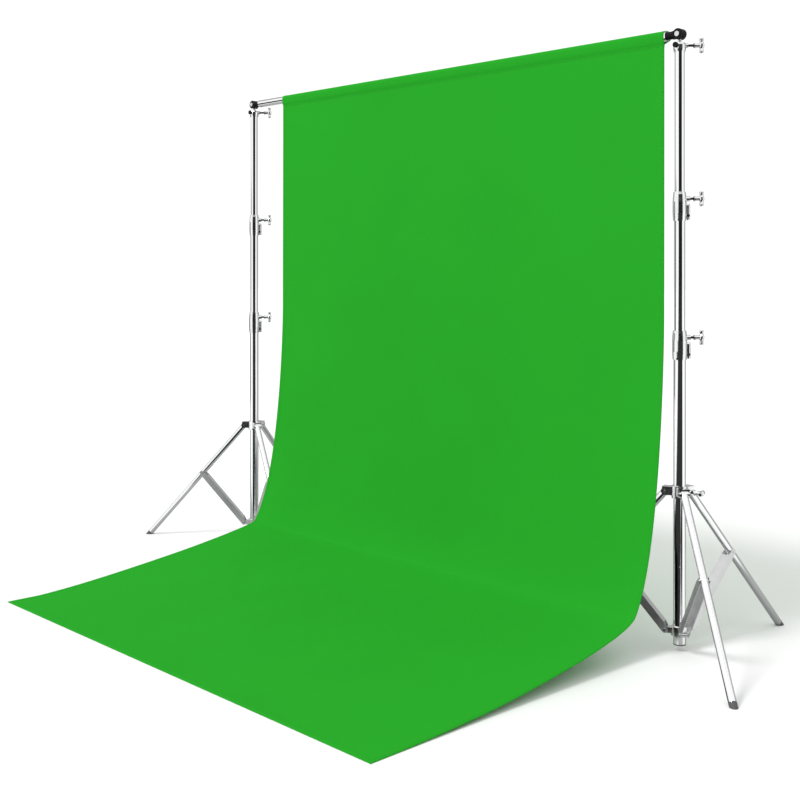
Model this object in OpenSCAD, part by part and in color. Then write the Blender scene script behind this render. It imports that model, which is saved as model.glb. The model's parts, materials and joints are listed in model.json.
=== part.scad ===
// Background support system: two telescoping tripod masts, a three-section crossbar
// and a backdrop sheet that hangs from the bar by its rod pocket and sweeps onto the floor.
// +Z is up, +X runs from the left mast to the right one, and the sheet sweeps towards -Y.
// A bearing is an angle in the floor plane, from the front (-Y) round towards +X.

/* [Overall] */
// Height of the crossbar's axis
bar_z = 2000; // [1900:10:2050]
// Distance from the middle to each mast's axis
mast_x = 1141; // [1000:1:1400]

/* [Masts] */
// Outer diameter of the column, the lowest mast tube
column_d = 40; // [40:1:44]
// Wall of the mast tubes
tube_wall = 1.5; // [1.2:0.1:2]
// Top end of the column
column_top_z = 1000; // [950:10:1050]
// Height of the column's foot above the floor
column_foot_z = 20; // [15:1:30]
// Lower end of the middle tube
mid_foot_z = 480; // [300:10:600]
// Top end of the middle tube
mid_top_z = 1450; // [1400:10:1550]
// Lower end of the top tube
top_foot_z = 1000; // [900:10:1100]

/* [Mast clamps] */
// Height of a clamp
clamp_h = 94; // [80:1:100]
// How far a clamp's barrel swells beyond its ends
clamp_swell = 1.8; // [1:0.1:4]
// Bearing of the clamp screws
knob_bearing = 135; // [100:5:170]
// Depth to which a tube end sits in its clamp
clamp_grip = 56; // [50:1:60]

/* [Tripods] */
// Bearing of the right mast's first leg
leg_yaw = 50; // [30:1:52]
// Outer diameter of a leg
leg_d = 25; // [22:0.5:26]
// Distance from the mast's axis to where a leg meets the floor
foot_r = 500; // [460:5:540]
// Height of the leg pivots on the sliding collar
collar_z = 515; // [480:5:560]
// Height of the brace pivots on the fixed hub
hub_z = 65; // [62:1:80]
// Distance from the mast's axis to the leg and brace pivots
pivot_r = 46; // [46:1:50]
// Diameter of the pivot pins and rivets
pin_d = 6; // [5:0.5:6.5]

/* [Crossbar] */
// Outer diameter of the crossbar
bar_d = 32; // [28:1:32]
// Length of the reduced end that joins two crossbar sections
bar_joint_l = 60; // [40:5:90]
// Distance from a mast's axis to the crossbar's end
bar_inset = 46; // [38:1:48]

/* [Backdrop] */
// Width of the sheet
sheet_w = 1994; // [1500:1:1994]
// Gap from the right mast's axis to the sheet
sheet_gap = 50; // [50:1:120]
// Thickness of the sheet
sheet_t = 2; // [1:0.5:2]
// Depth of the rod pocket below the bar's axis
pocket_drop = 29; // [25:1:40]
// Height at which the sheet starts to sweep forward
sweep_z = 1090; // [1000:10:1200]
// Distance from the sheet's plane to where the sweep reaches the floor
sweep_reach = 1180; // [1000:10:1250]
// Length that lies flat beyond the sweep
apron_flat = 120; // [60:10:300]

/* [Hidden] */
SIDES = ["left", "right"];
LEGS = [1, 2, 3];
SIDE_NODES = ["column", "column_plug", "brace_hub", "leg_collar", "collar_pins", "collar_knob",
    "leg_1", "leg_2", "leg_3", "foot_1", "foot_2", "foot_3", "brace_1", "brace_2", "brace_3",
    "lower_clamp", "lower_knob", "mid_tube", "mid_bush", "upper_clamp", "upper_knob",
    "top_tube", "top_cap", "top_knob", "end_fitting"];
$fn = 64;

// Fits: a running fit for pins and bushes, a free gap for what slides, and a cutting margin
run_fit = 0.05;
free_gap = 0.3;
cut = 1;

// Mast tubes, each free to slide in the one below
column_bore = column_d - 2 * tube_wall;
mid_d = column_bore - 1;
mid_bore = mid_d - 2 * tube_wall;
top_d = mid_bore - 1;
top_bore = top_d - 2 * tube_wall;
cap_top_z = bar_z - 29;
cap_h = 28;
cap_seat = 12;
top_tube_end_z = cap_top_z - cap_h + cap_seat;
knob_z = cap_top_z - 8;

// Tripod: brace and upper leg are equally long, so that the collar runs straight up the column
fold_angle = atan((foot_r - pivot_r) / collar_z);
link_l = (collar_z - hub_z) / 2 / cos(fold_angle);
leg_l = collar_z / cos(fold_angle);
foot_l = 14;
foot_plug_l = 26;
leg_half = leg_d / 2;
ear_gap = leg_half + free_gap;
ear_t = 4;
plate_gap = leg_half + 0.7;
plate_t = 2;
plate_r = 10;
lug_r = 9;
pin_head_r = 5;
pin_head_t = 2.5;
collar_r = 26;
collar_h = 40;
hub_r = 27;
hub_h = 30;

// T-knobs
screw_d = 8;
knob_reach = 80;
tee_h = 48;

// The frame's origin is under the middle of the whole object's floor area
foot_pad = leg_half / cos(fold_angle);
rear_bearing = leg_yaw + 120;
rear_reach = -foot_r * cos(rear_bearing)
    + sqrt(pow(foot_pad * cos(rear_bearing), 2) + pow(leg_half * sin(rear_bearing), 2));
sheet_y = -bar_d / 2 - 1.5;
front_reach = sweep_reach + apron_flat - sheet_y;
bar_y = (front_reach - rear_reach) / 2;

// Crossbar sections
bar_l = 2 * (mast_x - bar_inset) / 3;
bar_bore = bar_d - 3;

function side_sign(side) = side == "right" ? 1 : -1;
function leg_bearing(side, i) = side_sign(side) * (leg_yaw + 120 * (i - 1));
function collar_bearing(side) = side_sign(side) * (leg_yaw + 60);
function bezier(p, t) = pow(1 - t, 3) * p[0] + 3 * t * pow(1 - t, 2) * p[1]
    + 3 * pow(t, 2) * (1 - t) * p[2] + pow(t, 3) * p[3];

// ---- placing ----

module at_mast(side) {
    translate([side_sign(side) * mast_x, bar_y, 0]) children();
}

// Turns local +X to a bearing
module facing(bearing) {
    rotate([0, 0, bearing - 90]) children();
}

// Leg frame: local +Z runs down the leg from its top pivot
module on_leg(side, i) {
    at_mast(side) facing(leg_bearing(side, i)) translate([pivot_r, 0, collar_z])
        rotate([0, 180 - fold_angle, 0]) children();
}

// Brace frame: local +Z runs up the brace from its hub pivot, local -X is its upper side
module on_brace(side, i) {
    at_mast(side) facing(leg_bearing(side, i)) translate([pivot_r, 0, hub_z])
        rotate([0, fold_angle, 0]) children();
}

// ---- shared shapes ----

module tube(outer, bore, z0, z1) {
    difference() {
        translate([0, 0, z0]) cylinder(d = outer, h = z1 - z0);
        translate([0, 0, z0 - cut]) cylinder(d = bore, h = z1 - z0 + 2 * cut);
    }
}

// A cylinder across local Y, centred
module across(d, l) {
    rotate([90, 0, 0]) cylinder(d = d, h = l, center = true);
}

// A cylinder along local X
module along_x(d, x0, x1) {
    translate([x0, 0, 0]) rotate([0, 90, 0]) cylinder(d = d, h = x1 - x0);
}

// Headed pin across local Y that grips plates lying out to half_w
module headed_pin(half_w) {
    across(pin_d, 2 * half_w + 1);
    for (s = [-1, 1]) translate([0, s * (half_w + pin_head_t / 2), 0]) across(2 * pin_head_r, pin_head_t);
}

// T-knob along local X, its handle turned from upright: dark shank, hub and a waisted cross handle
module tee_knob(tip, turn) {
    color("dimgray") along_x(screw_d, tip, knob_reach - 28);
    color("silver") {
        along_x(13, knob_reach - 32, knob_reach - 6);
        along_x(17, knob_reach - 34, knob_reach - 29);
        translate([knob_reach - 9, 0, 0]) rotate([turn, 0, 0]) rotate_extrude() polygon([[0, -tee_h / 2],
            [5, -tee_h / 2], [6.8, -tee_h / 2 + 2.5], [6.8, -tee_h / 2 + 6], [5.6, -10], [8.6, -5], [8.6, 5],
            [5.6, 10], [6.8, tee_h / 2 - 6], [6.8, tee_h / 2 - 2.5], [5, tee_h / 2], [0, tee_h / 2]]);
    }
}

// Boss along local X for a clamping screw
module screw_boss(d, x1) {
    along_x(d, 16, x1);
}

// Telescope clamp: lower half grips the outer tube, upper half guides the inner one
module clamp(seat_d, slide_d, z0) {
    z1 = z0 + clamp_h;
    end_r = seat_d / 2 + 2.6;
    mid_r = end_r + clamp_swell;
    rib_x = seat_d / 2 + rib_out;
    difference() {
        union() {
            rotate_extrude() polygon([[10, z0], [end_r, z0], [end_r + 0.6, z0 + 6], [mid_r, z0 + 26],
                [mid_r, z0 + 62], [end_r, z1 - 8], [end_r - 1, z1], [10, z1]]);
            facing(knob_bearing) {
                translate([rib_x, 0, z0 + 3]) cylinder(r1 = rib_r - 2, r2 = rib_r, h = 4);
                translate([rib_x, 0, z0 + 7]) cylinder(r = rib_r, h = 44);
                translate([rib_x, 0, z0 + 51]) cylinder(r1 = rib_r, r2 = rib_r - 3, h = 5);
                translate([0, 0, z1 - 22]) screw_boss(17, seat_d / 2 + 15);
            }
        }
        translate([0, 0, z0 - cut]) cylinder(d = seat_d + 2 * run_fit, h = clamp_grip + cut);
        translate([0, 0, z0]) cylinder(d = slide_d + 2 * free_gap, h = clamp_h + cut);
        facing(knob_bearing) {
            translate([10, -1.25, z0 - cut]) cube([rib_x, 2.5, clamp_grip + cut]);
            translate([rib_x, 0, z0 + pinch_up]) {
                across(pin_d + 2 * run_fit, 30);
                for (s = [-1, 1]) translate([0, s * (rib_r - 1.5 + 5), 0]) across(10, 10);
            }
            translate([0, 0, z1 - 22]) along_x(screw_d + 2 * run_fit, 10, 50);
        }
    }
}

// Pinch screw that closes a clamp's rib
module clamp_screw(seat_d, z0) {
    facing(knob_bearing) translate([seat_d / 2 + rib_out, 0, z0 + pinch_up]) {
        across(pin_d, 2 * rib_r - 2);
        for (s = [-1, 1]) translate([0, s * rib_r, 0]) across(9, 2.8);
    }
}

rib_r = 7.5;
rib_out = 8.5;
pinch_up = 17;
lower_clamp_z = column_top_z - clamp_grip;
upper_clamp_z = mid_top_z - clamp_grip;

// ---- masts ----

module column(side) {
    color("silver") at_mast(side) tube(column_d, column_bore, column_foot_z + 4, column_top_z);
}

module column_plug(side) {
    color("dimgray") at_mast(side) {
        translate([0, 0, column_foot_z]) cylinder(d = column_d, h = 4);
        translate([0, 0, column_foot_z + 3]) cylinder(d = column_bore - 2 * run_fit, h = 28);
    }
}

module mid_tube(side) {
    color("silver") at_mast(side) tube(mid_d, mid_bore, mid_foot_z, mid_top_z);
}

// Plastic bush at a tube's foot, which guides it in the tube outside
module guide_bush(outer_bore, own_bore, z) {
    difference() {
        union() {
            translate([0, 0, z - 12]) cylinder(d = outer_bore - 0.16, h = 12);
            translate([0, 0, z - 1]) cylinder(d = own_bore - 2 * run_fit, h = 26);
        }
        translate([0, 0, z - 12 - cut]) cylinder(d = own_bore - 6, h = 37 + 2 * cut);
    }
}

module mid_bush(side) {
    color("dimgray") at_mast(side) guide_bush(column_bore, mid_bore, mid_foot_z);
}

module top_tube(side) {
    color("silver") at_mast(side) tube(top_d, top_bore, top_foot_z, top_tube_end_z);
}

module top_bushes() {
    color("dimgray") for (side = SIDES) at_mast(side) guide_bush(mid_bore, top_bore, top_foot_z);
}

module lower_clamp(side) {
    color("silver") at_mast(side) clamp(column_d, mid_d, lower_clamp_z);
}

module upper_clamp(side) {
    color("silver") at_mast(side) clamp(mid_d, top_d, upper_clamp_z);
    color("black") at_mast(side) clamp_screw(mid_d, upper_clamp_z);
}

module lower_clamp_screws() {
    color("black") for (side = SIDES) at_mast(side) clamp_screw(column_d, lower_clamp_z);
}

module lower_knob(side) {
    at_mast(side) facing(knob_bearing) translate([0, 0, lower_clamp_z + clamp_h - 22])
        tee_knob(mid_d / 2 + 0.4, 0);
}

module upper_knob(side) {
    at_mast(side) facing(knob_bearing) translate([0, 0, upper_clamp_z + clamp_h - 22])
        tee_knob(top_d / 2 + 0.4, 0);
}

// ---- mast tops ----

spigot_d = 12;
cap_r = 20.5;

module top_cap(side) {
    z0 = cap_top_z - cap_h;
    color("silver") at_mast(side) difference() {
        union() {
            rotate_extrude() polygon([[0, z0], [cap_r - 2, z0], [cap_r, z0 + 8], [cap_r, z0 + 22],
                [cap_r - 3, cap_top_z], [0, cap_top_z]]);
            translate([0, 0, knob_z]) facing(knob_bearing) screw_boss(14, 27);
        }
        translate([0, 0, z0 - cut]) cylinder(d = top_d + 2 * run_fit, h = cap_seat + cut);
        translate([0, 0, z0]) cylinder(d = spigot_d + 2 * run_fit, h = cap_h + cut);
        translate([0, 0, knob_z]) facing(knob_bearing) along_x(screw_d + 2 * run_fit, 2, 40);
        translate([0, 0, knob_z]) facing(0) along_x(pin_d + 2 * run_fit, 2, 40);
    }
}

module top_knob(side) {
    at_mast(side) translate([0, 0, knob_z]) facing(knob_bearing) tee_knob(spigot_d / 2 + 0.4, 0);
}

module spigots() {
    color("silver") for (side = SIDES) at_mast(side) translate([0, 0, cap_top_z - cap_h + cap_seat + 1])
        cylinder(d = spigot_d, h = bar_z - 4 - (cap_top_z - cap_h + cap_seat + 1));
}

// Black lock screw in the front of each mast top
module top_studs() {
    color("black") for (side = SIDES) at_mast(side) translate([0, 0, knob_z]) facing(0) {
        along_x(pin_d, spigot_d / 2 + 0.4, 24);
        along_x(18, cap_r + 0.2, cap_r + 7);
    }
}

// ---- crossbar ----

boss_d = 36;
boss_l = 27;
neck_d = 26;

// T-shaped end fitting: boss over the spigot, and a neck with a plug for the crossbar's bore
module end_fitting(side) {
    color([0.06, 0.06, 0.06]) at_mast(side) translate([0, 0, bar_z]) rotate([0, 0, side == "right" ? 180 : 0])
        difference() {
            union() {
                across(boss_d, boss_l);
                along_x(neck_d, 0, bar_inset);
                along_x(neck_d + 3, boss_d / 2 - 3, boss_d / 2 + 5);
                along_x(bar_bore - 2 * run_fit, bar_inset - 0.2, bar_inset + 50);
            }
            translate([0, 0, -boss_d]) cylinder(d = spigot_d + 2 * run_fit, h = boss_d);
            across(10 + 2 * run_fit, boss_l + 2 * cut);
        }
}

module fitting_screws() {
    color("silver") for (side = SIDES) at_mast(side) translate([0, 0, bar_z]) facing(0) {
        along_x(10, spigot_d / 2 + 2, boss_l / 2 + 1);
        along_x(17, boss_l / 2 + 0.05, boss_l / 2 + 4);
    }
}

// One crossbar section from x0, with a reduced end that enters the next section where male is set
module bar_section(x0, male) {
    color("silver") translate([x0, bar_y, bar_z]) difference() {
        union() {
            along_x(bar_d, 0.1, bar_l - 0.1);
            if (male > 0) along_x(bar_bore - 2 * run_fit, bar_l - 1, bar_l + bar_joint_l);
            if (male < 0) along_x(bar_bore - 2 * run_fit, -bar_joint_l, 1);
        }
        along_x(bar_bore - 3, -bar_joint_l - cut, bar_l + bar_joint_l + cut);
        if (male <= 0) along_x(bar_bore, bar_l - bar_joint_l - 10, bar_l + cut);
        if (male >= 0) along_x(bar_bore, -cut, bar_joint_l + 10);
    }
}

module bar_left() {
    bar_section(-1.5 * bar_l, 1);
}

module bar_centre() {
    bar_section(-0.5 * bar_l, 0);
}

module bar_right() {
    bar_section(0.5 * bar_l, -1);
}

// ---- tripods ----

// Round plate end and straight run of a lug or ear, with its pivot at the origin
module lug(r, reach, half_w) {
    across(2 * r, 2 * half_w);
    translate([-reach, -half_w, -r]) cube([reach, 2 * half_w, 2 * r]);
}

module brace_hub(side) {
    reach = pivot_r - hub_r + 6;
    color("gainsboro") at_mast(side) difference() {
        union() {
            translate([0, 0, hub_z - hub_h / 2]) cylinder(r = hub_r, h = hub_h);
            for (i = LEGS) facing(leg_bearing(side, i)) translate([pivot_r, 0, hub_z]) lug(lug_r, reach, ear_gap);
        }
        translate([0, 0, hub_z - hub_h]) cylinder(d = column_d + 2 * run_fit, h = 2 * hub_h);
        for (i = LEGS) facing(leg_bearing(side, i)) translate([pivot_r, 0, hub_z]) across(pin_d + 2 * run_fit, 60);
    }
}

module hub_pins() {
    color("silver") for (side = SIDES) for (i = LEGS) at_mast(side) facing(leg_bearing(side, i))
        translate([pivot_r, 0, hub_z]) headed_pin(plate_gap + plate_t + free_gap);
}

// Sliding collar: a bored sleeve with a roofed clevis for each leg and a boss for its lock screw
module leg_collar(side) {
    reach = pivot_r - collar_r + 5;
    ear_r = 11;
    roof_z = leg_half + 0.9;
    roof_t = 3;
    half_w = ear_gap + ear_t;
    color("gainsboro") at_mast(side) difference() {
        union() {
            translate([0, 0, collar_z - collar_h / 2]) cylinder(r = collar_r, h = collar_h);
            for (i = LEGS) facing(leg_bearing(side, i)) translate([pivot_r, 0, collar_z]) {
                lug(ear_r, reach, half_w);
                translate([-reach, -half_w, 0]) cube([reach + 8, 2 * half_w, roof_z + roof_t]);
            }
            translate([0, 0, collar_z]) facing(collar_bearing(side)) screw_boss(18, 36);
        }
        for (i = LEGS) facing(leg_bearing(side, i)) translate([pivot_r, 0, collar_z]) {
            translate([collar_r - pivot_r + 1, -ear_gap, -collar_h]) cube([60, 2 * ear_gap, collar_h + roof_z]);
            across(pin_d + 2 * run_fit, 60);
        }
        translate([0, 0, collar_z - collar_h]) cylinder(d = column_d + 2 * free_gap, h = 2 * collar_h);
        translate([0, 0, collar_z]) facing(collar_bearing(side)) along_x(screw_d + 2 * run_fit, 10, 40);
    }
}

module collar_pins(side) {
    color("silver") for (i = LEGS) at_mast(side) facing(leg_bearing(side, i)) translate([pivot_r, 0, collar_z])
        headed_pin(ear_gap + ear_t + 0.1);
}

module collar_knob(side) {
    at_mast(side) translate([0, 0, collar_z]) facing(collar_bearing(side)) tee_knob(column_d / 2 + 0.4, 90);
}

// Leg: a tube with a solid eye at its top and a cross hole for the brace's rivet
module leg(side, i) {
    color("silver") on_leg(side, i) difference() {
        union() {
            cylinder(d = leg_d, h = leg_l - foot_l);
            across(leg_d, 2 * leg_half - 1);
        }
        translate([0, 0, 34]) cylinder(d = leg_d - 3, h = leg_l);
        across(pin_d + 2 * run_fit, leg_d + 2 * cut);
        translate([0, 0, link_l]) across(pin_d + 2 * run_fit, leg_d + 2 * cut);
    }
}

// Foot: a plug in the leg's end, cut flat at the floor
module foot(side, i) {
    color("dimgray") difference() {
        on_leg(side, i) {
            translate([0, 0, leg_l - foot_l - foot_plug_l]) cylinder(d = leg_d - 3 - 2 * run_fit, h = foot_plug_l + 1);
            translate([0, 0, leg_l - foot_l]) cylinder(d = leg_d, h = 3 * foot_l);
        }
        at_mast(side) translate([0, 0, -50]) cylinder(r = foot_r + 100, h = 50);
    }
}

// Brace: an inverted channel that straddles the leg, and the rivet that holds the two together
module brace(side, i) {
    half_w = plate_gap + plate_t;
    web_x = -plate_gap - plate_t;
    color("silver") on_brace(side, i) {
        difference() {
            union() {
                for (z = [0, link_l]) translate([0, 0, z]) across(2 * plate_r, 2 * half_w);
                rotate([90, 0, 0]) translate([0, 0, -half_w]) linear_extrude(2 * half_w)
                    polygon([[plate_r, 0], [plate_r, link_l], [-plate_r, link_l], [web_x, link_l - 24],
                        [web_x, 20], [-plate_r, 0]]);
            }
            translate([web_x + plate_t, -plate_gap, -20]) cube([60, 2 * plate_gap, link_l + 40]);
            translate([-60 - 0.1, -plate_gap, -40]) cube([60, 2 * plate_gap, 60]);
            translate([-60 - 0.1, -plate_gap, link_l - 24]) cube([60, 2 * plate_gap, 60]);
            for (z = [0, link_l]) translate([0, 0, z]) across(pin_d + 2 * run_fit, 3 * half_w);
        }
        translate([0, 0, link_l]) headed_pin(half_w + 0.1);
    }
}

// ---- backdrop ----

// Centre line of the hanging sheet, from below the pocket down, forward and along the floor
hang_pts = [[0, sweep_z], [0, sweep_z - 175], [-26, 300], [-160, 131]];
floor_pts = [[-160, 131], [-179, 108], [-543, 28], [-sweep_reach, sheet_t / 2]];
sweep_steps = 16;
sheet_line = concat([[0, bar_z - pocket_drop]],
    [for (k = [0:sweep_steps]) bezier(hang_pts, k / sweep_steps)],
    [for (k = [1:sweep_steps]) bezier(floor_pts, k / sweep_steps)],
    [[-sweep_reach - apron_flat, sheet_t / 2]]);
line_end = len(sheet_line) - 1;

function line_dir(k) = let (a = sheet_line[max(k - 1, 0)], b = sheet_line[min(k + 1, line_end)]) (b - a) / norm(b - a);
function sheet_edge(k, s) = let (d = line_dir(k), p = sheet_line[k] + s * sheet_t / 2 * [-d[1], d[0]])
    [p[0], max(p[1], 0)];

// Rod pocket: a drop-shaped loop round the bar, closed by the seam
pocket_r = bar_d / 2 + 5;
seam = [sheet_y + sheet_t / 2, -pocket_drop];
wrap_end = atan2(seam[1], seam[0]) + acos(pocket_r / norm(seam));
pocket_steps = 20;
pocket_line = [for (k = [0:pocket_steps]) let (a = 180 - k * (180 - wrap_end) / pocket_steps)
    pocket_r * [cos(a), sin(a)]];

module sheet() {
    color([0.17, 0.67, 0.18]) translate([mast_x - sheet_gap - sheet_w, bar_y, 0]) difference() {
        rotate([90, 0, 90]) union() {
            linear_extrude(sheet_w) translate([sheet_y, 0]) polygon(concat(
                [for (k = [0:line_end]) sheet_edge(k, 1)], [for (k = [line_end:-1:0]) sheet_edge(k, -1)]));
            linear_extrude(sheet_w) translate([0, bar_z])
                polygon(concat(pocket_line, [seam, [sheet_y - sheet_t / 2, -pocket_drop]]));
        }
        translate([0, 0, bar_z]) along_x(bar_d + 0.4, -cut, sheet_w + cut);
    }
}

// ---- nodes ----

for (side = SIDES) {
    column(side);
    column_plug(side);
    brace_hub(side);
    leg_collar(side);
    collar_pins(side);
    collar_knob(side);
    lower_clamp(side);
    lower_knob(side);
    mid_tube(side);
    mid_bush(side);
    upper_clamp(side);
    upper_knob(side);
    top_tube(side);
    top_cap(side);
    top_knob(side);
    end_fitting(side);
    for (i = LEGS) {
        leg(side, i);
        foot(side, i);
        brace(side, i);
    }
}
hub_pins();
lower_clamp_screws();
top_bushes();
spigots();
top_studs();
fitting_screws();
bar_left();
bar_centre();
bar_right();
sheet();
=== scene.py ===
"""Background support system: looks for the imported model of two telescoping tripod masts,
a three-section crossbar and a green backdrop sheet. All lengths are in metres."""

import json
import math

import bpy
import numpy as np
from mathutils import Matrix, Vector


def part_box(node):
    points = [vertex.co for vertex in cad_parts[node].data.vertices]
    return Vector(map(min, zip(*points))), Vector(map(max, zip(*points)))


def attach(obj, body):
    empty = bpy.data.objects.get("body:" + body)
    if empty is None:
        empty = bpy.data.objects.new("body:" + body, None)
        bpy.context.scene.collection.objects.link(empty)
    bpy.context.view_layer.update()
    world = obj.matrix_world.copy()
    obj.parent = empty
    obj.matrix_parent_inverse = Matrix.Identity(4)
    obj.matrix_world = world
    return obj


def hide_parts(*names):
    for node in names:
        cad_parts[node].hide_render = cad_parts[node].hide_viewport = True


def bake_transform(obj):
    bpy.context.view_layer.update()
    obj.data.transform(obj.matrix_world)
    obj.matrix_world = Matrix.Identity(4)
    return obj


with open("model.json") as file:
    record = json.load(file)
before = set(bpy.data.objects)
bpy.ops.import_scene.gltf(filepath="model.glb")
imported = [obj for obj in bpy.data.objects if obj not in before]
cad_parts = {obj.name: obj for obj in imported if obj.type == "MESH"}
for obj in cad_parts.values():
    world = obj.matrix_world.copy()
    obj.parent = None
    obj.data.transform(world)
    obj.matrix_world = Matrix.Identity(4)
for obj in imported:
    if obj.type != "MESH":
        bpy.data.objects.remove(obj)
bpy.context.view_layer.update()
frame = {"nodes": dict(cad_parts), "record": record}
nodes = frame["nodes"]

MM = 0.001
SIDES = ("left", "right")


def middle(node):
    low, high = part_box(node)
    return (low + high) / 2


def bearing_vector(degrees):
    """Unit vector in the floor plane, at an angle from the front (-Y) round towards +X."""
    a = math.radians(degrees)
    return Vector((math.sin(a), -math.cos(a), 0))


bar_y = middle("bar_centre").y
bar_z = middle("bar_centre").z
bar_r = (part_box("bar_centre")[1].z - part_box("bar_centre")[0].z) / 2
mast = {side: Vector((middle(f"{side}_column").x, bar_y, 0)) for side in SIDES}


# ---- camera -------------------------------------------------------------------

CAMERA_FROM_RIGHT_MAST = Vector((2.128, -3.311, 0))
CAMERA_HEIGHT = 1.236
CAMERA_BEARING = 46.06
CAMERA_LENS = 53.1
HORIZON_SHIFT = -0.163


def make_camera():
    data = bpy.data.cameras.new("camera")
    data.lens = CAMERA_LENS
    data.sensor_width = 36
    data.shift_y = HORIZON_SHIFT
    data.clip_start = 0.05
    data.clip_end = 200
    camera = bpy.data.objects.new("camera", data)
    bpy.context.scene.collection.objects.link(camera)
    camera.location = mast["right"] + CAMERA_FROM_RIGHT_MAST + Vector((0, 0, CAMERA_HEIGHT))
    looking = -bearing_vector(CAMERA_BEARING)
    camera.rotation_euler = looking.to_track_quat("-Z", "Y").to_euler()
    bpy.context.scene.camera = camera


# ---- shader helpers -----------------------------------------------------------

class Shader:
    """Builds one node tree: add() makes a node, and its inputs take numbers or other outputs."""

    def __init__(self, tree):
        self.tree = tree
        tree.nodes.clear()

    def add(self, kind, inputs=(), **settings):
        n = self.tree.nodes.new(kind)
        for key, value in settings.items():
            setattr(n, key, value)
        for key, value in dict(inputs).items():
            if isinstance(value, bpy.types.NodeSocket):
                self.tree.links.new(value, n.inputs[key])
            else:
                n.inputs[key].default_value = value
        return n

    def math(self, operation, a, b=0.0, clamp=False):
        return self.add("ShaderNodeMath", {0: a, 1: b}, operation=operation, use_clamp=clamp).outputs[0]

    def noise(self, vector, scale, detail=3.0, roughness=0.5):
        inputs = {"Vector": vector, "Scale": scale, "Detail": detail, "Roughness": roughness}
        return self.add("ShaderNodeTexNoise", inputs).outputs["Fac"]

    def stretched(self, vector, scale):
        return self.add("ShaderNodeMapping", {"Vector": vector, "Scale": scale}).outputs["Vector"]

    def ranged(self, value, low, high, to_low, to_high, smooth=False):
        inputs = {"Value": value, "From Min": low, "From Max": high, "To Min": to_low, "To Max": to_high}
        kind = "SMOOTHSTEP" if smooth else "LINEAR"
        return self.add("ShaderNodeMapRange", inputs, interpolation_type=kind).outputs["Result"]

    def mix(self, factor, a, b):
        inputs = {"Factor": factor}
        n = self.add("ShaderNodeMix", inputs, data_type="RGBA")
        for index, value in ((6, a), (7, b)):
            if isinstance(value, bpy.types.NodeSocket):
                self.tree.links.new(value, n.inputs[index])
            else:
                n.inputs[index].default_value = (*value, 1)
        return n.outputs[2]

    def bump(self, height, strength, distance, below=None):
        inputs = {"Height": height, "Strength": strength, "Distance": distance}
        if below is not None:
            inputs["Normal"] = below
        return self.add("ShaderNodeBump", inputs).outputs["Normal"]

    def point(self):
        return self.add("ShaderNodeTexCoord").outputs["Object"]

    def vector(self, operation, a, b=(0, 0, 0), output="Vector"):
        return self.add("ShaderNodeVectorMath", {0: a, 1: b}, operation=operation).outputs[output]

    def dot(self, a, b):
        return self.vector("DOT_PRODUCT", a, b, "Value")


def new_material(name):
    material = bpy.data.materials.new(name)
    material.use_nodes = True
    return material, Shader(material.node_tree)


def close(shader, **inputs):
    """Principled surface with the given sockets."""
    renamed = {key.replace("_", " "): value for key, value in inputs.items()}
    for key, value in renamed.items():
        if key == "Base Color" and not isinstance(value, bpy.types.NodeSocket):
            renamed[key] = (*value, 1)
    surface = shader.add("ShaderNodeBsdfPrincipled", renamed)
    shader.add("ShaderNodeOutputMaterial", {"Surface": surface.outputs[0]})


# ---- materials ----------------------------------------------------------------

def polished_tube():
    """Drawn and polished stainless tube: fine lines along it, faint handling marks."""
    material, s = new_material("polished_tube")
    p = s.point()
    drawn = s.noise(s.stretched(p, (900, 900, 6)), 1.0, 2.0)
    marks = s.noise(p, 9.0, 5.0, 0.6)
    colour = s.mix(s.ranged(marks, 0.35, 0.7, 0, 1), (0.93, 0.935, 0.94), (0.88, 0.885, 0.895))
    rough = s.math("ADD", s.ranged(drawn, 0.3, 0.7, 0.035, 0.07), s.ranged(marks, 0.4, 0.75, 0, 0.05))
    close(s, Base_Color=colour, Metallic=1.0, Roughness=rough, Normal=s.bump(drawn, 0.05, 0.0002))
    return material


def bright_plate(name, tint, wave, dull):
    """Plated pressing or casting: slightly uneven under its shine."""
    material, s = new_material(name)
    p = s.point()
    uneven = s.noise(p, 60.0, 2.0)
    grain = s.noise(p, 1400.0, 2.0)
    marks = s.noise(p, 22.0, 4.0, 0.6)
    colour = s.mix(s.ranged(marks, 0.35, 0.7, 0, 1), tint, tuple(0.9 * c for c in tint))
    rough = s.math("ADD", s.ranged(grain, 0.3, 0.7, dull, dull + 0.05), s.ranged(marks, 0.4, 0.8, 0, 0.08))
    normal = s.bump(grain, 0.04, 0.0001, s.bump(uneven, wave, 0.0015))
    close(s, Base_Color=colour, Metallic=1.0, Roughness=rough, Normal=normal)
    return material


def moulded_plastic(name, tint, gloss):
    """Moulded plastic with a fine spark-eroded grain, scuffed paler where it is handled."""
    material, s = new_material(name)
    p = s.point()
    grain = s.noise(p, 1800.0, 3.0)
    scuffs = s.noise(p, 70.0, 6.0, 0.7)
    colour = s.mix(s.ranged(scuffs, 0.6, 0.8, 0, 0.6), tint, tuple(c + 0.015 for c in tint))
    rough = s.math("ADD", s.ranged(scuffs, 0.3, 0.8, gloss, gloss + 0.15), s.ranged(grain, 0.3, 0.7, 0, 0.06))
    close(s, Base_Color=colour, Roughness=rough, Normal=s.bump(grain, 0.15, 0.0002),
          Specular_IOR_Level=0.16)
    return material


# A knob's plated head starts this far from its mast's axis
KNOB_HEAD_FROM = 46.5 * MM
KNOB_EDGE = 0.5 * MM
THREAD_PITCH = 1.5 * MM
MAST_KNOB_BEARING = 135
COLLAR_KNOB_BEARING = {"right": 110, "left": -110}


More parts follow.
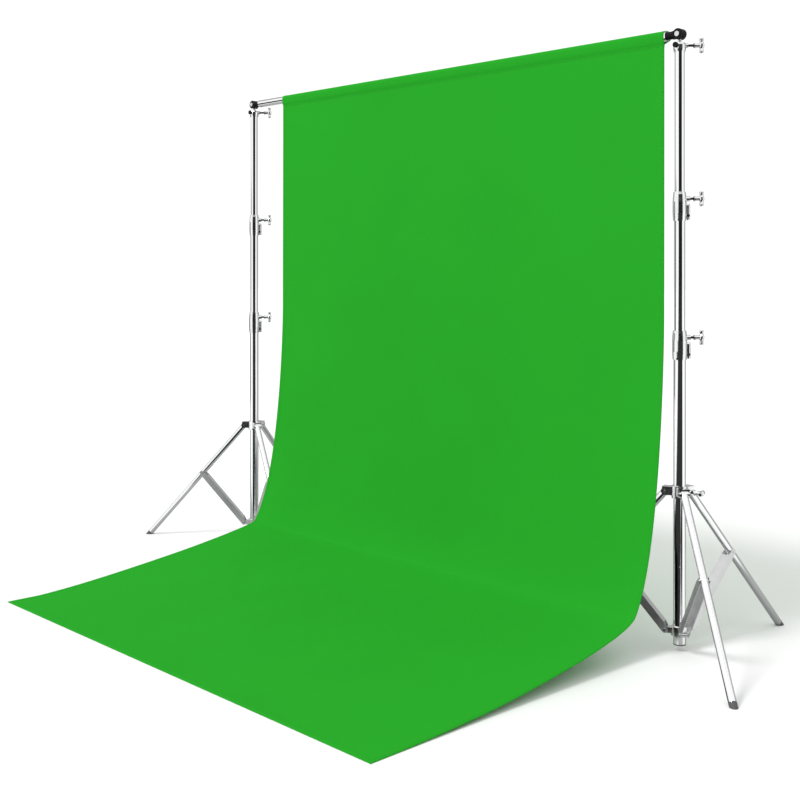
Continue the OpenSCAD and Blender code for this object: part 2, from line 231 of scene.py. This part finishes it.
def tee_knob_metal(side, where, bearing):
    """Plated T-handle on a blackened screw: the screw part shows thread rings."""
    material, s = new_material(f"{side}_{where}_knob_metal")
    p = s.point()
    outward = bearing_vector(bearing)
    along = s.dot(s.vector("SUBTRACT", p, mast[side]), outward)
    plated = s.ranged(along, KNOB_HEAD_FROM - KNOB_EDGE, KNOB_HEAD_FROM + KNOB_EDGE, 0, 1)
    grain = s.noise(p, 900.0, 2.0)
    thread = s.math("SINE", s.math("MULTIPLY", along, 2 * math.pi / THREAD_PITCH))
    height = s.math("MULTIPLY", thread, s.math("SUBTRACT", 1.0, plated))
    colour = s.mix(plated, (0.02, 0.02, 0.022), (0.86, 0.865, 0.87))
    rough = s.math("ADD", s.ranged(plated, 0, 1, 0.35, 0.09), s.ranged(grain, 0.3, 0.7, 0, 0.06))
    close(s, Base_Color=colour, Metallic=s.ranged(plated, 0, 1, 0.6, 1.0), Roughness=rough,
          Normal=s.bump(height, 0.6, 0.0004, s.bump(grain, 0.05, 0.0002)))
    return material


CLOTH_GREEN = (0.0205, 0.352, 0.0212)
WEAVE_SCALE = 320.0


def backdrop_cloth():
    """Matt plain-weave cloth, evenly dyed, with a soft cross-hatch of warp and weft."""
    material, s = new_material("backdrop_cloth")
    p = s.point()
    dye = s.noise(p, 2.2, 3.0, 0.6)
    slub = s.noise(s.stretched(p, (30, 30, 900)), 1.0, 2.0)
    yarns = {"Vector": p, "Scale": WEAVE_SCALE, "Distortion": 0.4}
    warp = s.add("ShaderNodeTexWave", yarns, bands_direction="X")
    weft = s.add("ShaderNodeTexWave", yarns, bands_direction="Z")
    weave = s.math("MULTIPLY", warp.outputs["Fac"], weft.outputs["Fac"])
    colour = s.mix(s.ranged(dye, 0.3, 0.7, 0, 1), CLOTH_GREEN, tuple(0.965 * c for c in CLOTH_GREEN))
    rough = s.ranged(weave, 0, 1, 0.88, 0.96)
    normal = s.bump(weave, 0.12, 0.0003, s.bump(slub, 0.05, 0.0003))
    close(s, Base_Color=colour, Roughness=rough, Normal=normal, Specular_IOR_Level=0.03)
    return material


def sewing_thread():
    """Twisted thread, a shade darker than the cloth."""
    material, s = new_material("sewing_thread")
    twist = s.noise(s.point(), 2500.0, 1.0)
    colour = s.mix(twist, tuple(0.72 * c for c in CLOTH_GREEN), tuple(0.92 * c for c in CLOTH_GREEN))
    close(s, Base_Color=colour, Roughness=0.7, Normal=s.bump(twist, 0.3, 0.0002))
    return material


def dress_nodes():
    """Gives every CAD node its material by the record's slots."""
    tube = polished_tube()
    steel = {
        "polished_tube": tube,
        "cast_fittings": bright_plate("cast_fittings", (0.88, 0.885, 0.89), 0.06, 0.08),
        "brace_steel": bright_plate("brace_steel", (0.85, 0.855, 0.86), 0.04, 0.26),
        "fastener_steel": bright_plate("fastener_steel", (0.7, 0.705, 0.71), 0.03, 0.15),
        "black_plastic": moulded_plastic("black_plastic", (0.004, 0.004, 0.0045), 0.22),
        "grey_plastic": moulded_plastic("grey_plastic", (0.1, 0.1, 0.105), 0.45),
    }
    for row in frame["record"]["subparts"]:
        name, slot = row["node"], row["material_slot"]
        if slot == "backdrop_cloth":
            continue
        if slot == "knob_metal":
            side, where = name.split("_")[:2]
            bearing = COLLAR_KNOB_BEARING[side] if where == "collar" else MAST_KNOB_BEARING
            material = tee_knob_metal(side, where, bearing)
        else:
            material = steel[slot]
        mesh = nodes[name].data
        mesh.materials.clear()
        mesh.materials.append(material)


# ---- the sheet ----------------------------------------------------------------

CLOTH_T = 0.8 * MM
HEM_W = 14 * MM
HEM_T = 0.7 * MM
# The seam lies this far under the bar's axis, and the cloth's end this far below the seam
POCKET_DROP = 29 * MM
POCKET_TAIL = 9 * MM
POCKET_SLACK = 5.6 * MM
# Angles round the bar, from its back over its top, at which the pocket leaves its round form
POCKET_FROM, POCKET_TO = -38, 182
# How much further than the CAD sheet the cloth covers the bar's right end
POCKET_END_EASE = 3.5 * MM
HANG_OFF_BAR = 1.4 * MM
SWEEP_REACH = 1.18
APRON_FLAT = 0.12
STITCH_L = 3.4 * MM
STITCH_R = 0.45 * MM
STITCH_PITCH = 5.2 * MM
# Bezier points, each a distance in front of the sheet's plane and a height: the hanging span, and
# the span towards the floor, which bends sharply along the left edge and roundly along the right
HANG_POINTS = ((0, 1.09), (0, 0.915), (0.026, 0.3), (0.16, 0.131))
FLOOR_POINTS = {
    "left": ((0.16, 0.131), (0.178, 0.109), (0.8, 0.016), (SWEEP_REACH, CLOTH_T)),
    "right": ((0.16, 0.131), (0.215, 0.062), (0.82, 0.006), (SWEEP_REACH, CLOTH_T)),
}


def bezier(points, t):
    a, b, c, d = (np.array(q) for q in points)
    t = np.asarray(t)[:, None]
    return (1 - t) ** 3 * a + 3 * t * (1 - t) ** 2 * b + 3 * t ** 2 * (1 - t) * c + t ** 3 * d


def pocket_radius(a):
    """The pocket lies on the bar's top and bulges loosely off its front and back."""
    return bar_r + CLOTH_T / 2 + 0.6 * MM + POCKET_SLACK * math.cos(a) ** 2


def sheet_profile(side):
    """The cloth's centre line in (y, z) along one edge, from behind the pocket to the front edge,
    and the index of the first row below the seam."""
    front = bar_y - bar_r - HANG_OFF_BAR
    seam_z = bar_z - POCKET_DROP
    tail_y = front + CLOTH_T * 1.3
    angles = np.linspace(math.radians(POCKET_FROM), math.radians(POCKET_TO), 40)
    loop = [(bar_y + pocket_radius(a) * math.cos(a), bar_z + pocket_radius(a) * math.sin(a))
            for a in angles]
    tail = [(tail_y, seam_z - POCKET_TAIL * (1 - k / 3)) for k in range(4)]
    back = [tuple(np.array(tail[-1]) * (1 - k / 6) + np.array(loop[0]) * k / 6) for k in range(1, 6)]
    bulge_y, bulge_z = loop[-1]
    down = [(bulge_y + (front - bulge_y) * t ** 3, bulge_z + (seam_z - bulge_z) * t)
            for t in np.linspace(0.1, 1, 10)]
    drop = [(front, z) for z in np.linspace(seam_z - 6 * MM, HANG_POINTS[0][1] + 0.02, 40)]
    hang = [(front - q[0], q[1]) for q in bezier(HANG_POINTS, np.linspace(0, 1, 60))]
    sweep = [(front - q[0], q[1]) for q in bezier(FLOOR_POINTS[side], np.linspace(0, 1, 60)[1:])]
    apron = [(front - SWEEP_REACH - APRON_FLAT * k / 8, CLOTH_T) for k in range(1, 9)]
    rows = tail + back + loop + down + drop + hang + sweep + apron
    return np.array(rows), len(tail) + len(back) + len(loop) + len(down)


def row_normals(profile):
    step = np.gradient(profile, axis=0)
    step /= np.linalg.norm(step, axis=1)[:, None]
    return np.stack((-step[:, 1], step[:, 0]), axis=1)


def lengths_along(points):
    return np.concatenate(([0], np.cumsum(np.linalg.norm(np.diff(points, axis=0), axis=1))))


def cloth_waves(x, s, total):
    """How far the cloth stands off its plain profile at each place across and each length s down
    from the seam: slight vertical folds that grow downwards, then low rolls on the floor."""
    hang = np.clip((s - 0.12) / 1.6, 0, 1)[:, None]
    lie = np.clip((s - 2.0) / 0.5, 0, 1)[:, None]
    x = x[None, :]
    s = s[:, None]
    folds = 1.6 * np.sin(6.1 * x + 0.6 * s) + 0.9 * np.sin(14.3 * x - 0.5 * s + 1.1)
    rolls = 0.7 * np.sin(9.0 * s + 2.1 * np.sin(2.3 * x)) + 0.8 * np.sin(4.2 * x + 5.0 * s + 0.4)
    wave = (1.6 + folds) * hang * (1 - 0.75 * lie) + 0.8 * rolls * lie
    still_end = np.clip((total - s) / 0.15, 0, 1)
    return MM * wave * still_end


def build_sheet(material):
    """The double-walled cloth, and its middle surface as rows of points, the length down to each
    row and the index of the first row below the seam."""
    low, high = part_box("sheet")
    left_line, below_seam = sheet_profile("left")
    right_line, _ = sheet_profile("right")
    s = lengths_along((left_line + right_line) / 2)
    width = high.x + POCKET_END_EASE - low.x
    hem = HEM_W * np.array((0, 0.5, 0.93))
    across = np.concatenate((hem, np.linspace(HEM_W, width - HEM_W, 110), width - hem[::-1]))
    x = low.x + across
    from_side = np.minimum(across, width - across)
    from_front = s[-1] - s
    side_hem = np.clip((HEM_W - from_side) / (HEM_W * 0.07), 0, 1)[None, :]
    front_hem = np.clip((HEM_W * 1.6 - from_front) / (HEM_W * 0.1), 0, 1)[:, None]
    thick = CLOTH_T + HEM_T * np.maximum(side_hem, front_hem)
    waves = cloth_waves(x, s - s[below_seam], s[-1] - s[below_seam])
    waves[:below_seam] = 0
    share = (across / width)[None, :, None]
    line = left_line[:, None] * (1 - share) + right_line[:, None] * share
    normals = row_normals(left_line)[:, None] * (1 - share) + row_normals(right_line)[:, None] * share
    base = np.empty((len(s), len(x), 3))
    base[:, :, 0] = x[None, :]
    base[:, :, 1:] = line - normals * waves[:, :, None]
    out = np.zeros_like(base)
    out[:, :, 1:] = normals * thick[:, :, None] / 2
    front_face, back_face = base + out, base - out
    for face in (front_face, back_face):
        face[:, :, 2] = np.maximum(face[:, :, 2], 0.05 * MM)
    rows, columns = len(s), len(x)
    verts = np.concatenate((front_face.reshape(-1, 3), back_face.reshape(-1, 3)))
    index = np.arange(rows * columns).reshape(rows, columns)
    shift = rows * columns
    other = index + shift
    quads = [np.stack((index[:-1, :-1], index[1:, :-1], index[1:, 1:], index[:-1, 1:]), -1).reshape(-1, 4),
             np.stack((other[:-1, :-1], other[:-1, 1:], other[1:, 1:], other[1:, :-1]), -1).reshape(-1, 4)]
    rim = np.concatenate((index[0, :], index[1:, -1], index[-1, -2::-1], index[-2:0:-1, 0]))
    rim_next = np.roll(rim, -1)
    quads.append(np.stack((rim, rim_next, rim_next + shift, rim + shift), -1))
    mesh = bpy.data.meshes.new("backdrop_sheet")
    mesh.from_pydata(verts.tolist(), [], np.concatenate(quads).tolist())
    mesh.materials.append(material)
    mesh.validate()
    for polygon in mesh.polygons:
        polygon.use_smooth = True
    piece = bpy.data.objects.new("backdrop_sheet", mesh)
    bpy.context.scene.collection.objects.link(piece)
    return piece, base, s, below_seam


def stitch_line(places, directions, normals, lift):
    """Vertices and faces of one row of stitches: short spindles lying on the cloth."""
    verts, faces = [], []
    for p, d, n in zip(places, directions, normals):
        side = np.cross(d, n)
        first = len(verts)
        for along, r in ((-0.5, 0.0), (-0.3, 1.0), (0.3, 1.0), (0.5, 0.0)):
            centre = p + d * STITCH_L * along + n * (lift if r else lift * 0.4)
            if r == 0:
                verts.append(centre)
                continue
            for k in range(5):
                a = 2 * math.pi * k / 5
                verts.append(centre + STITCH_R * (math.cos(a) * side + math.sin(a) * n))
        a0, b0, end = first + 1, first + 6, first + 11
        for k in range(5):
            j = (k + 1) % 5
            faces.append((first, a0 + j, a0 + k))
            faces.append((a0 + k, a0 + j, b0 + j, b0 + k))
            faces.append((b0 + k, b0 + j, end))
    return verts, faces


def resampled(line, pitch):
    """Points every pitch along a line of points, with the direction there."""
    s = lengths_along(line)
    at = np.arange(pitch, s[-1] - pitch, pitch)
    points = np.stack([np.interp(at, s, line[:, k]) for k in range(3)], 1)
    ahead = np.stack([np.interp(at + pitch / 4, s, line[:, k]) for k in range(3)], 1)
    direction = ahead - points
    return points, direction / np.linalg.norm(direction, axis=1)[:, None]


def build_stitching(name, material, lines):
    """One piece of stitches along lines of points, each line with the side that the cloth faces."""
    verts, faces = [], []
    for line, facing in lines:
        points, directions = resampled(line, STITCH_PITCH)
        normals = np.cross(directions, np.cross(facing, directions))
        normals /= np.linalg.norm(normals, axis=1)[:, None]
        v, f = stitch_line(points, directions, normals, CLOTH_T / 2 + HEM_T / 2 + 0.1 * MM)
        start = len(verts)
        verts += v
        faces += [tuple(i + start for i in face) for face in f]
    mesh = bpy.data.meshes.new(name)
    mesh.from_pydata([tuple(v) for v in verts], [], faces)
    mesh.materials.append(material)
    piece = bpy.data.objects.new(name, mesh)
    bpy.context.scene.collection.objects.link(piece)
    return piece


def make_backdrop():
    cloth, thread = backdrop_cloth(), sewing_thread()
    sheet, base, s, below_seam = build_sheet(cloth)
    seam_row = base[below_seam - 1]
    front = np.array((0, -1, 0.0))
    pocket = build_stitching("pocket_stitching", thread, [
        (seam_row + (0, 0, 1.5 * MM), front),
        (seam_row - (0, 0, 5.5 * MM), front)])
    upward = np.array((0, -0.7, 0.7))
    lines = []
    for column, inward in ((0, 1), (-1, -1)):
        edge = base[below_seam:, column].copy()
        edge[:, 0] += inward * HEM_W * 0.75
        lines.append((edge, upward))
    row = np.searchsorted(s, s[-1] - HEM_W * 1.3)
    lines.append((base[row], np.array((0, 0, 1.0))))
    hem = build_stitching("hem_stitching", thread, lines)

    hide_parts("sheet")
    for piece in (sheet, hem):
        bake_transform(piece)
    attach(pocket, "top")
    for piece in (sheet, pocket, hem):
        piece.visible_glossy = False


# ---- floor, light and world ---------------------------------------------------

# Bearings of the studio's dark flags, and the middle of its grey side behind the object. The floor's colour
# also carries them as painted reflections that only mirror-like rays see.
DARK_FLAG = (12, 86)
BAR_FLAG = (-68, -46)
GREY_SIDE = bearing_vector(212)
GREY_DEPTH = 0.6
FLOOR_HALF = 60.0
FLOOR_BELOW = 0.5 * MM
KEY_BEARING = -14
KEY_RISE = 50
KEY_SPREAD = 16
KEY_ENERGY = 1.45
SKY_TO_EYE = 1.05
SKY_TO_CLOTH = 0.9


def grey_side(s, direction):
    """How far a direction faces the grey part of the studio, behind the object: 0 to 1."""
    return s.ranged(s.dot(direction, GREY_SIDE), 0.12, 0.32, 0, 1, smooth=True)


def band(s, bearing, low, high, soft):
    """1 inside a range of bearings, 0 outside."""
    up = s.ranged(bearing, low - soft, low + soft, 0, 1, smooth=True)
    down = s.ranged(bearing, high - soft, high + soft, 1, 0, smooth=True)
    return s.math("MULTIPLY", up, down)


def bearing_of(s, vector):
    parts = s.add("ShaderNodeSeparateXYZ", {"Vector": vector})
    back = s.math("MULTIPLY", parts.outputs["Y"], -1.0)
    return s.math("MULTIPLY", s.math("ARCTAN2", parts.outputs["X"], back), 180 / math.pi)


def make_floor():
    """A pale floor. For mirror-like rays only, its colour is painted black in bands of bearing round the
    masts and grey towards the object's back. These painted reflections give the polished tube its dark
    stripes and grey edges, continuing the studio's dark flags.
    """
    mesh = bpy.data.meshes.new("floor")
    corners = [(x * FLOOR_HALF, y * FLOOR_HALF, 0) for x, y in ((-1, -1), (1, -1), (1, 1), (-1, 1))]
    mesh.from_pydata(corners, [], [(0, 1, 2, 3)])
    material, s = new_material("floor_paint_and_painted_reflections")
    point = s.point()
    soft = s.noise(point, 0.7, 2.0)
    paint = s.mix(soft, (0.90, 0.90, 0.90), (0.91, 0.91, 0.91))
    # Painted reflection mask, per mast: black in a band of bearings, more so further from the mast; grey
    # towards the object's back; for the left mast, also black far out in line with the bar
    painted_reflection_dark = 0.0
    for side in SIDES:
        offset = s.vector("SUBTRACT", point, mast[side])
        away = s.vector("LENGTH", offset, output="Value")
        bearing = bearing_of(s, offset)
        depth = s.ranged(away, 0.3, 1.6, 0.55, 0.97)
        flag = s.math("MULTIPLY", band(s, bearing, *DARK_FLAG, 2), depth)
        grey = s.math("MULTIPLY", grey_side(s, s.vector("NORMALIZE", offset)), GREY_DEPTH)
        painted_reflection_dark = s.math("MAXIMUM", painted_reflection_dark, s.math("MAXIMUM", flag, grey))
        if side == "left":
            far = s.ranged(away, 5.0, 6.0, 0, 1)
            painted_reflection_dark = s.math("MAXIMUM", painted_reflection_dark, s.math("MULTIPLY", band(s, bearing, *BAR_FLAG, 2), far))
    mirrored = s.add("ShaderNodeLightPath").outputs["Is Glossy Ray"]
    # The floor's colour is painted black by this mask for mirror-like rays only; the camera and the soft
    # light see the floor pale
    colour = s.mix(s.math("MULTIPLY", painted_reflection_dark, mirrored), paint, (0, 0, 0))
    close(s, Base_Color=colour, Roughness=0.9, Specular_IOR_Level=0.0)
    mesh.materials.append(material)
    floor = bpy.data.objects.new("floor", mesh)
    bpy.context.scene.collection.objects.link(floor)
    floor.location.z = -FLOOR_BELOW


def make_key_light():
    sun = bpy.data.lights.new("key", "SUN")
    sun.energy = KEY_ENERGY
    sun.angle = math.radians(KEY_SPREAD)
    key = bpy.data.objects.new("key", sun)
    bpy.context.scene.collection.objects.link(key)
    rise = math.radians(KEY_RISE)
    towards_sun = bearing_vector(KEY_BEARING) * math.cos(rise) + Vector((0, 0, math.sin(rise)))
    key.rotation_euler = (-towards_sun).to_track_quat("-Z", "Y").to_euler()


def make_world():
    """A bright studio all round. Polished tube sees a tall dark flag beside the camera, a low one
    in line with the bar and a grey side behind the object: its stripes and its edges."""
    world = bpy.data.worlds.new("studio")
    bpy.context.scene.world = world
    world.use_nodes = True
    s = Shader(world.node_tree)
    direction = s.add("ShaderNodeTexCoord").outputs["Generated"]
    turn = bearing_of(s, direction)
    rise = s.add("ShaderNodeSeparateXYZ", {"Vector": direction}).outputs["Z"]
    tall = s.ranged(rise, 0.24, 0.34, 1, 0, smooth=True)
    low = s.ranged(rise, 0.05, 0.09, 1, 0, smooth=True)
    dark = s.math("MULTIPLY", band(s, turn, *DARK_FLAG, 3), tall)
    for_bar = s.math("MULTIPLY", band(s, turn, *BAR_FLAG, 2), low)
    path = s.add("ShaderNodeLightPath")
    grey = s.math("MULTIPLY", grey_side(s, direction), GREY_DEPTH)
    grey = s.math("MULTIPLY", grey, path.outputs["Is Glossy Ray"])
    shade = s.math("SUBTRACT", 1.0, s.math("MULTIPLY", s.math("MAXIMUM", dark, for_bar), 0.985))
    shade = s.math("MULTIPLY", shade, s.math("SUBTRACT", 1.0, grey))
    level = s.ranged(path.outputs["Is Diffuse Ray"], 0, 1, SKY_TO_EYE, SKY_TO_CLOTH)
    strength = s.math("MULTIPLY", s.math("MAXIMUM", shade, path.outputs["Is Camera Ray"]), level)
    background = s.add("ShaderNodeBackground", {"Color": (1, 1, 1, 1), "Strength": strength})
    s.add("ShaderNodeOutputWorld", {"Surface": background.outputs[0]})
    bpy.context.scene.view_settings.view_transform = "Standard"


make_camera()
dress_nodes()
make_backdrop()
make_floor()
make_key_light()
make_world()
